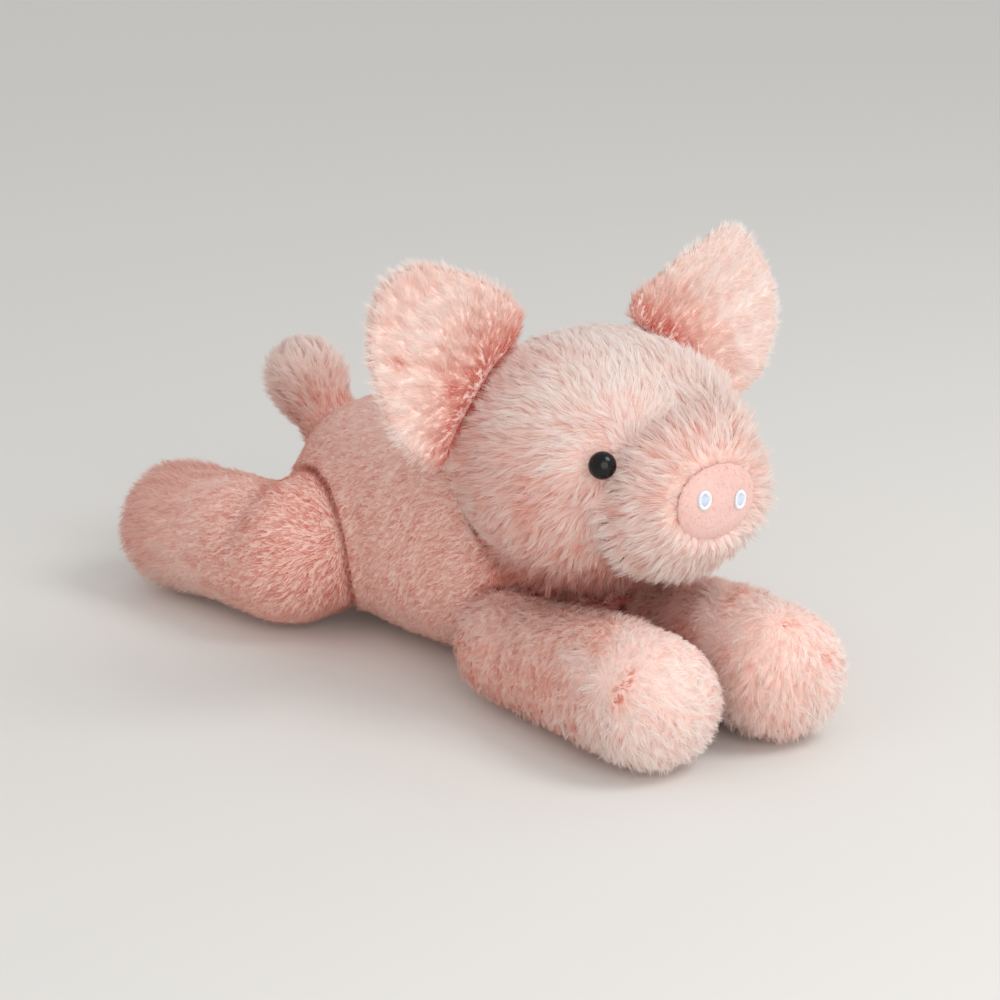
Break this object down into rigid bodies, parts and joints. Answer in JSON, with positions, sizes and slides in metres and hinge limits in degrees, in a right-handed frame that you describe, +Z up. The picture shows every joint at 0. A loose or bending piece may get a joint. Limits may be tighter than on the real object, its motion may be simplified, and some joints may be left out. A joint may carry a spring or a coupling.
{
  "type": "plush pig",
  "caption": "Plush pig lying on its belly, head up, with round upright ears, a disc nose, a puffed tail and stretched legs that swing at their roots.",
  "frame": {"origin": "on the floor under the middle of the whole pig", "axes": "+Z up, the head faces -Y, +X is the pig's left side"},
  "size_m": [0.1948, 0.3177, 0.1692],
  "materials": {
    "pale_pink_plush": "long pile plush",
    "inner_ear_plush": "long pile plush, deeper pink",
    "nose_velour": "short pile velour",
    "white_thread": "satin stitch",
    "black_plastic": "polished",
    "washer_plastic": "moulded",
    "polyester_stuffing": "loose fibre",
    "pellet_bag_cloth": "plain woven cloth"
  },
  "bodies": {
    "torso": {"torso_plush": "pale_pink_plush", "torso_filling": "polyester_stuffing", "pellet_bag": "pellet_bag_cloth"},
    "neck": {"neck_plug": "polyester_stuffing"},
    "head": {"head_plush": "pale_pink_plush", "head_filling": "polyester_stuffing", "muzzle_plush": "pale_pink_plush", "muzzle_filling": "polyester_stuffing", "nose_pad": "nose_velour", "nostril_left": "white_thread", "nostril_right": "white_thread", "eye_left": "black_plastic", "eye_right": "black_plastic", "eye_washer_left": "washer_plastic", "eye_washer_right": "washer_plastic"},
    "ear_left": {"ear_left_inner": "inner_ear_plush", "ear_left_back": "pale_pink_plush"},
    "ear_right": {"ear_right_inner": "inner_ear_plush", "ear_right_back": "pale_pink_plush"},
    "tail": {"tail_plush": "pale_pink_plush", "tail_filling": "polyester_stuffing"},
    "front_leg_left": {"front_leg_left_plush": "pale_pink_plush", "front_leg_left_filling": "polyester_stuffing"},
    "front_leg_right": {"front_leg_right_plush": "pale_pink_plush", "front_leg_right_filling": "polyester_stuffing"},
    "hind_leg_left": {"hind_leg_left_plush": "pale_pink_plush", "hind_leg_left_filling": "polyester_stuffing"},
    "hind_leg_right": {"hind_leg_right_plush": "pale_pink_plush", "hind_leg_right_filling": "polyester_stuffing"}
  },
  "joints": [
    {"name": "head_nod", "type": "hinge", "parent": "torso", "child": "neck", "pos_m": [0, -0.052, 0.09], "axis": [1, 0, 0], "range_deg": [-18, 0]},
    {"name": "head_turn", "type": "hinge", "parent": "neck", "child": "head", "pos_m": [0, -0.052, 0.09], "axis": [0, 0, 1], "range_deg": [-20, 20]},
    {"name": "ear_fold_left", "type": "hinge", "parent": "head", "child": "ear_left", "pos_m": [0.0446, -0.046, 0.11829], "axis": [0.6025, 0, -0.7981], "range_deg": [-12, 12], "stiffness_Nm_per_rad": 0.03},
    {"name": "ear_fold_right", "type": "hinge", "parent": "head", "child": "ear_right", "pos_m": [-0.0446, -0.046, 0.11829], "axis": [-0.6025, 0, -0.7981], "range_deg": [-12, 12], "stiffness_Nm_per_rad": 0.03},
    {"name": "front_leg_swing_left", "type": "hinge", "parent": "torso", "child": "front_leg_left", "pos_m": [0.031, -0.048, 0.0215], "axis": [0, 0, 1], "range_deg": [0, 35]},
    {"name": "front_leg_swing_right", "type": "hinge", "parent": "torso", "child": "front_leg_right", "pos_m": [-0.031, -0.048, 0.0215], "axis": [0, 0, 1], "range_deg": [-35, 0]},
    {"name": "hind_leg_swing_left", "type": "hinge", "parent": "torso", "child": "hind_leg_left", "pos_m": [0.045, 0.072, 0.032], "axis": [0, 0, 1], "range_deg": [-30, 0]},
    {"name": "hind_leg_swing_right", "type": "hinge", "parent": "torso", "child": "hind_leg_right", "pos_m": [-0.045, 0.072, 0.032], "axis": [0, 0, 1], "range_deg": [0, 30]},
    {"name": "tail_wag", "type": "hinge", "parent": "torso", "child": "tail", "pos_m": [0, 0.106, 0.06693], "axis": [0, 0, 1], "range_deg": [-25, 25], "stiffness_Nm_per_rad": 0.02}
  ]
}
